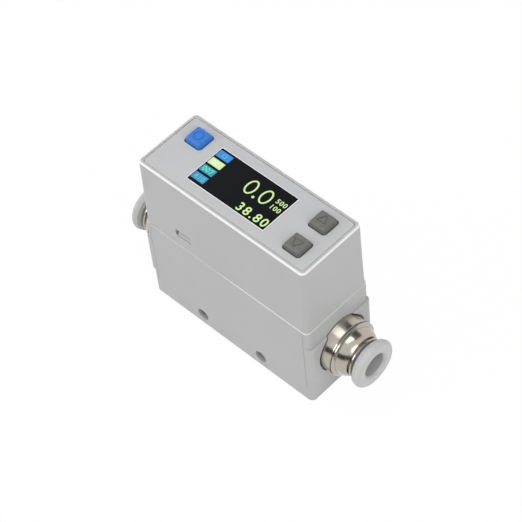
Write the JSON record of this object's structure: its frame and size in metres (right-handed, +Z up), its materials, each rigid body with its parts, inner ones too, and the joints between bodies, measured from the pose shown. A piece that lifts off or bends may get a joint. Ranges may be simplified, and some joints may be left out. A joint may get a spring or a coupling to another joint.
{
  "type": "thermal mass flow meter",
  "caption": "Slim upright gas flow meter with a top display, press keys, a rear socket and a push-in tube port at each end of its base.",
  "frame": {"origin": "middle of the base's underside, midway between the two tube ports", "axes": "+X along the flow from inlet to outlet, +Z up out of the display face, +Y to the side that the display text faces up towards"},
  "size_m": [0.0722, 0.02, 0.0472],
  "materials": {
    "housing_plastic": "fine moulded texture, light grey",
    "panel_plastic": "satin light grey",
    "window_plastic": "gloss black tinted",
    "key_blue": "satin blue",
    "key_grey": "satin dark grey",
    "fitting_metal": "bright nickel plating on brass",
    "ring_plastic": "satin off-white",
    "rubber_black": "matt black",
    "spring_steel": "plain stainless",
    "screen_steel": "plain stainless",
    "screw_steel": "plated steel",
    "circuit_board": "green solder mask",
    "chip_plastic": "moulded black",
    "display_glass": "black panel",
    "carrier_plastic": "moulded white",
    "switch_plastic": "moulded black",
    "connector_plastic": "moulded natural nylon",
    "pin_brass": "gold-plated",
    "coil_ferrite": "sintered ferrite",
    "can_aluminium": "bare aluminium can"
  },
  "bodies": {
    "housing": {"cover": "housing_plastic", "top_panel": "panel_plastic", "display_window": "window_plastic", "display_module": "display_glass", "display_carrier": "carrier_plastic", "select_switch": "switch_plastic", "up_switch": "switch_plastic", "down_switch": "switch_plastic", "main_board": "circuit_board", "signal_board": "circuit_board", "sensor_board": "circuit_board", "connector_board": "circuit_board", "processor_chip": "chip_plastic", "power_coil": "coil_ferrite", "capacitors": "can_aluminium", "sensor_chip": "chip_plastic", "sensor_gasket": "rubber_black", "sensor_screws": "screw_steel", "base_shell": "housing_plastic", "base_screws": "screw_steel", "flow_block": "housing_plastic", "cover_seal": "rubber_black", "connector_shell": "connector_plastic", "connector_pins": "pin_brass", "inlet_fitting": "fitting_metal", "inlet_o_ring": "rubber_black", "inlet_clip": "spring_steel", "inlet_screen": "screen_steel", "inlet_tube_seal": "rubber_black", "inlet_collet": "spring_steel", "inlet_guide_ring": "fitting_metal", "outlet_fitting": "fitting_metal", "outlet_o_ring": "rubber_black", "outlet_clip": "spring_steel", "outlet_screen": "screen_steel", "outlet_tube_seal": "rubber_black", "outlet_collet": "spring_steel", "outlet_guide_ring": "fitting_metal"},
    "select_button": {"select_button": "key_blue"},
    "up_button": {"up_button": "key_grey"},
    "down_button": {"down_button": "key_grey"},
    "inlet_release_ring": {"inlet_release_ring": "ring_plastic"},
    "outlet_release_ring": {"outlet_release_ring": "ring_plastic"}
  },
  "joints": [
    {"name": "select_press", "type": "slide", "parent": "housing", "child": "select_button", "axis": [0, 0, -1], "range_m": [0, 0.0003], "stiffness_N_per_m": 300, "springref_m": -0.002},
    {"name": "up_press", "type": "slide", "parent": "housing", "child": "up_button", "axis": [0, 0, -1], "range_m": [0, 0.0003], "stiffness_N_per_m": 300, "springref_m": -0.002},
    {"name": "down_press", "type": "slide", "parent": "housing", "child": "down_button", "axis": [0, 0, -1], "range_m": [0, 0.0003], "stiffness_N_per_m": 300, "springref_m": -0.002},
    {"name": "inlet_release", "type": "slide", "parent": "housing", "child": "inlet_release_ring", "axis": [1, 0, 0], "range_m": [0, 0.0005], "stiffness_N_per_m": 300, "springref_m": -0.002},
    {"name": "outlet_release", "type": "slide", "parent": "housing", "child": "outlet_release_ring", "axis": [-1, 0, 0], "range_m": [0, 0.0005], "stiffness_N_per_m": 300, "springref_m": -0.002}
  ]
}
